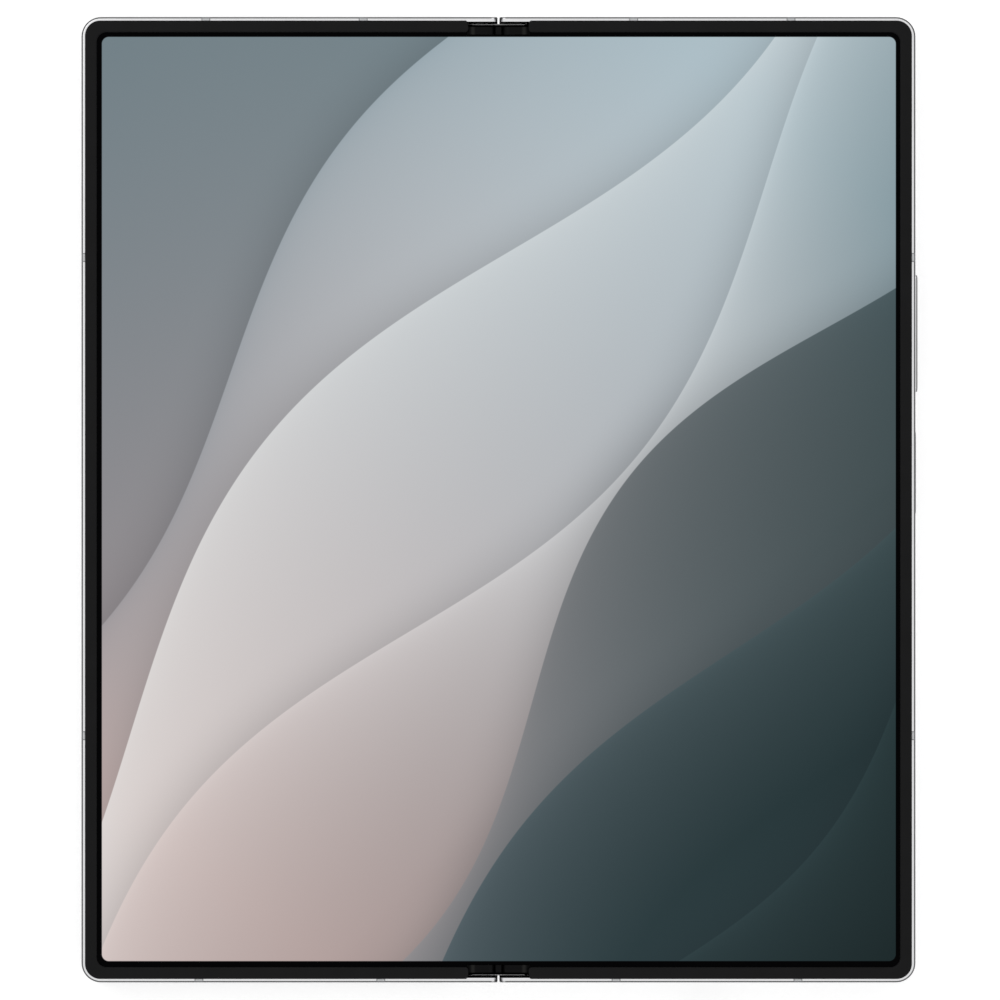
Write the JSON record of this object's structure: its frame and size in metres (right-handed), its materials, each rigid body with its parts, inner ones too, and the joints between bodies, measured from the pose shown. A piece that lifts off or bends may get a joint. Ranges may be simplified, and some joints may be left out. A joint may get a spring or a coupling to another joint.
{
  "type": "foldable smartphone",
  "caption": "Book-style folding phone: two slim halves on a geared hinge spine, a bendable main screen, a cover screen, side keys, a card tray and a camera island.",
  "frame": {"origin": "middle of the fold line, on the surface that the camera island rests on when the open phone lies on its back", "axes": "+X across the fold towards the half with the side keys and cameras, +Y along the fold towards the top edge, +Z out of the main screen"},
  "size_m": [0.133, 0.1536, 0.0076],
  "materials": {
    "frame_metal": "satin",
    "spine_metal": "satin",
    "antenna_plastic": "matte",
    "back_glass": "satin",
    "cover_screen_glass": "gloss",
    "lens_glass": "gloss",
    "flash_lens": "satin",
    "screen_film": "gloss",
    "bezel_plastic": "satin",
    "panel_black": "gloss",
    "camera_black": "satin",
    "board_green": "satin",
    "tinned_steel": "satin",
    "battery_wrap": "matte",
    "copper_coil": "satin",
    "flex_orange": "satin",
    "hinge_steel": "satin",
    "gear_brass": "satin"
  },
  "bodies": {
    "main_half": {"main_frame": "frame_metal", "main_antenna_inserts": "antenna_plastic", "rear_glass": "back_glass", "camera_island": "frame_metal", "camera_rings": "frame_metal", "camera_windows": "lens_glass", "rear_camera_modules": "camera_black", "flash_led": "flash_lens", "circuit_boards": "board_green", "board_shields": "tinned_steel", "main_battery": "battery_wrap", "charging_coil": "copper_coil", "usb_port": "tinned_steel", "loudspeaker": "camera_black", "vibration_motor": "tinned_steel", "under_display_camera": "camera_black", "key_switch_strip": "flex_orange", "display_right": "screen_film", "display_sheet_right": "tinned_steel", "bezel_right": "bezel_plastic", "fold_caps_right": "bezel_plastic", "hinge_brackets_right": "hinge_steel", "bracket_screws_right": "hinge_steel", "closing_magnets_right": "tinned_steel"},
    "spine": {"spine_cover": "spine_metal", "hinge_base_blocks": "hinge_steel", "centre_rail": "hinge_steel", "spine_end_caps": "bezel_plastic", "idler_pins": "hinge_steel", "disc_springs": "hinge_steel", "friction_washers": "gear_brass", "hinge_flex_cables": "flex_orange", "display_fold_strip": "screen_film"},
    "cover_half": {"cover_frame": "frame_metal", "cover_antenna_inserts": "antenna_plastic", "cover_glass": "cover_screen_glass", "cover_display": "panel_black", "front_camera": "camera_black", "cover_board": "board_green", "cover_battery": "battery_wrap", "earpiece_speaker": "camera_black", "sim_reader": "tinned_steel", "display_left": "screen_film", "display_sheet_left": "tinned_steel", "bezel_left": "bezel_plastic", "fold_caps_left": "bezel_plastic", "hinge_brackets_left": "hinge_steel", "bracket_screws_left": "hinge_steel", "closing_magnets_left": "tinned_steel"},
    "main_wing": {"right_wing_plate": "hinge_steel"},
    "cover_wing": {"left_wing_plate": "hinge_steel"},
    "main_swing_arm": {"right_swing_arms": "hinge_steel", "right_hinge_shafts": "hinge_steel"},
    "cover_swing_arm": {"left_swing_arms": "hinge_steel", "left_hinge_shafts": "hinge_steel"},
    "main_idler": {"right_idler_gears": "gear_brass"},
    "cover_idler": {"left_idler_gears": "gear_brass"},
    "volume_key": {"volume_key": "frame_metal"},
    "power_key": {"power_key": "frame_metal"},
    "sim_tray": {"sim_tray": "frame_metal"}
  },
  "joints": [
    {"name": "spine_fold", "type": "hinge", "parent": "main_half", "child": "spine", "pos_m": [0.00183, 0, 0.00583], "axis": [0, 1, 0], "range_deg": [0, 90], "deforming": ["display_fold_strip", "hinge_flex_cables"]},
    {"name": "cover_fold", "type": "hinge", "parent": "spine", "child": "cover_half", "pos_m": [-0.00183, 0, 0.00583], "axis": [0, 1, 0], "range_deg": [0, 90]},
    {"name": "main_wing_tilt", "type": "hinge", "parent": "main_half", "child": "main_wing", "pos_m": [0.0072, 0, 0.0062], "axis": [0, -1, 0], "range_deg": [0, 26]},
    {"name": "cover_wing_tilt", "type": "hinge", "parent": "cover_half", "child": "cover_wing", "pos_m": [-0.0072, 0, 0.0062], "axis": [0, 1, 0], "range_deg": [0, 26]},
    {"name": "main_arm_swing", "type": "hinge", "parent": "spine", "child": "main_swing_arm", "pos_m": [0.003, 0, 0.00465], "axis": [0, -1, 0], "range_deg": [0, 90]},
    {"name": "cover_arm_swing", "type": "hinge", "parent": "spine", "child": "cover_swing_arm", "pos_m": [-0.003, 0, 0.00465], "axis": [0, 1, 0], "range_deg": [0, 90]},
    {"name": "main_idler_turn", "type": "hinge", "parent": "spine", "child": "main_idler", "pos_m": [0.001, 0, 0.00465], "axis": [0, 1, 0], "range_deg": [0, 90]},
    {"name": "cover_idler_turn", "type": "hinge", "parent": "spine", "child": "cover_idler", "pos_m": [-0.001, 0, 0.00465], "axis": [0, -1, 0], "range_deg": [0, 90]},
    {"name": "volume_rocker", "type": "hinge", "parent": "main_half", "child": "volume_key", "pos_m": [0.0654, 0.0265, 0.0044], "axis": [0, 0, 1], "range_deg": [-1.5, 1.5], "stiffness_Nm_per_rad": 0.05},
    {"name": "power_key_press", "type": "slide", "parent": "main_half", "child": "power_key", "axis": [-1, 0, 0], "range_m": [0, 0.00025], "stiffness_N_per_m": 1000, "springref_m": -0.0001},
    {"name": "sim_tray_slide", "type": "slide", "parent": "cover_half", "child": "sim_tray", "axis": [0, -1, 0], "range_m": [0, 0.017]}
  ],
  "couplings": [
    {"joint": "cover_fold", "follows": "spine_fold", "ratio": 1},
    {"joint": "main_wing_tilt", "follows": "spine_fold", "ratio": 0.2888},
    {"joint": "cover_wing_tilt", "follows": "spine_fold", "ratio": 0.2888},
    {"joint": "main_arm_swing", "follows": "spine_fold", "ratio": 1},
    {"joint": "cover_arm_swing", "follows": "spine_fold", "ratio": 1},
    {"joint": "main_idler_turn", "follows": "spine_fold", "ratio": 1},
    {"joint": "cover_idler_turn", "follows": "spine_fold", "ratio": 1}
  ]
}
